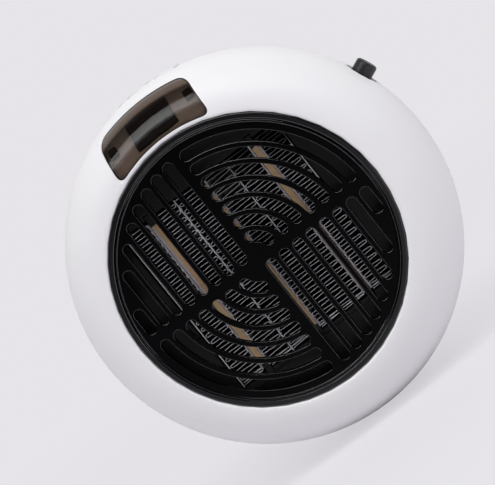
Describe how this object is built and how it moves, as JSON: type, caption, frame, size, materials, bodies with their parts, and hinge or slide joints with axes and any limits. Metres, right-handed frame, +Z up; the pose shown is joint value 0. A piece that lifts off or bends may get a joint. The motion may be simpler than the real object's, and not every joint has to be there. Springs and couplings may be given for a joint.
{
  "type": "plug-in fan heater",
  "caption": "Round plug-in fan heater: two-part white shell, black slotted grille over a ceramic core, axial fan, display window, rim keys, power button and a turning wall plug.",
  "frame": {"origin": "middle of the wall plug's seat face, on the axis of the round body", "axes": "+Y goes into the wall along the plug pins, the front grille faces -Y, +Z is up and +X is to the right seen from the front"},
  "size_m": [0.148, 0.0949, 0.1485],
  "materials": {
    "shell_white": "moulded white ABS with a satin gloss",
    "key_white": "moulded white ABS keys, a little duller than the shell",
    "black_plastic": "fine-textured black moulding that stands heat",
    "black_gloss": "smooth black moulding",
    "fan_black": "moulded black fan",
    "smoked_window": "clear smoked brown window, polished",
    "tray_brown": "moulded grey-brown tray",
    "display_black": "black potted module",
    "circuit_board": "green solder-masked laminate",
    "aluminium": "mill-finished thin strip",
    "ceramic": "beige wrapped ceramic heating strip",
    "brown_resin": "dull dark resin that stands heat",
    "steel": "zinc-plated steel",
    "plated_pin": "nickel-plated brass pin",
    "brass": "spring brass, bare",
    "lead_sleeve": "red glass-fibre sleeve"
  },
  "bodies": {
    "plug": {"plug_body": "black_plastic", "live_pin": "plated_pin", "neutral_pin": "plated_pin", "plug_retainer": "black_plastic", "live_contact": "brass", "neutral_contact": "brass"},
    "housing": {"front_shell": "shell_white", "rear_shell": "shell_white", "housing_screw_1": "steel", "housing_screw_2": "steel", "housing_screw_3": "steel", "housing_screw_4": "steel", "grille_ring": "black_gloss", "front_grille": "black_plastic", "front_baffle": "black_plastic", "display_window": "smoked_window", "display_tray": "tray_brown", "led_module": "display_black", "display_board": "circuit_board", "key_panel": "shell_white", "key_board": "circuit_board", "tact_switch_left": "black_plastic", "tact_switch_middle": "black_plastic", "tact_switch_right": "black_plastic", "power_bushing": "black_gloss", "power_switch": "black_plastic", "ptc_strip_1": "ceramic", "ptc_strip_2": "ceramic", "ptc_strip_3": "ceramic", "core_divider_1": "aluminium", "core_divider_2": "aluminium", "fin_bank_1": "aluminium", "fin_bank_2": "aluminium", "fin_bank_3": "aluminium", "fin_bank_4": "aluminium", "fin_bank_5": "aluminium", "fin_bank_6": "aluminium", "core_side_plate_1": "aluminium", "core_side_plate_2": "aluminium", "core_frame_top": "brown_resin", "core_frame_bottom": "brown_resin", "air_duct": "black_plastic", "motor_mount": "black_plastic", "fan_motor": "steel", "power_board": "circuit_board", "heater_relay": "display_black", "filter_capacitor": "display_black", "board_fuse": "brown_resin", "thermal_cutout": "steel", "thermal_fuse": "brown_resin", "live_wiper": "brass", "neutral_wiper": "brass", "heater_lead": "lead_sleeve", "motor_lead": "lead_sleeve"},
    "rotor": {"impeller": "fan_black", "motor_shaft": "steel"},
    "power_button": {"power_button": "black_plastic"},
    "key_left": {"key_left": "key_white"},
    "key_middle": {"key_middle": "key_white"},
    "key_right": {"key_right": "key_white"}
  },
  "joints": [
    {"name": "plug_swivel", "type": "hinge", "parent": "plug", "child": "housing", "pos_m": [0, -0.02, 0], "axis": [0, 1, 0], "range_deg": [-90, 90]},
    {"name": "fan_spin", "type": "hinge", "parent": "housing", "child": "rotor", "pos_m": [0, -0.04, 0], "axis": [0, 1, 0], "continuous": true},
    {"name": "power_button_press", "type": "slide", "parent": "housing", "child": "power_button", "axis": [-0.9239, 0, -0.3827], "range_m": [0, 0.002], "stiffness_N_per_m": 1500},
    {"name": "key_left_press", "type": "slide", "parent": "housing", "child": "key_left", "axis": [0.1685, 0, -0.9857], "range_m": [0, 0.0005], "stiffness_N_per_m": 2000},
    {"name": "key_middle_press", "type": "slide", "parent": "housing", "child": "key_middle", "axis": [0, 0, -1], "range_m": [0, 0.0005], "stiffness_N_per_m": 2000},
    {"name": "key_right_press", "type": "slide", "parent": "housing", "child": "key_right", "axis": [-0.1685, 0, -0.9857], "range_m": [0, 0.0005], "stiffness_N_per_m": 2000}
  ]
}
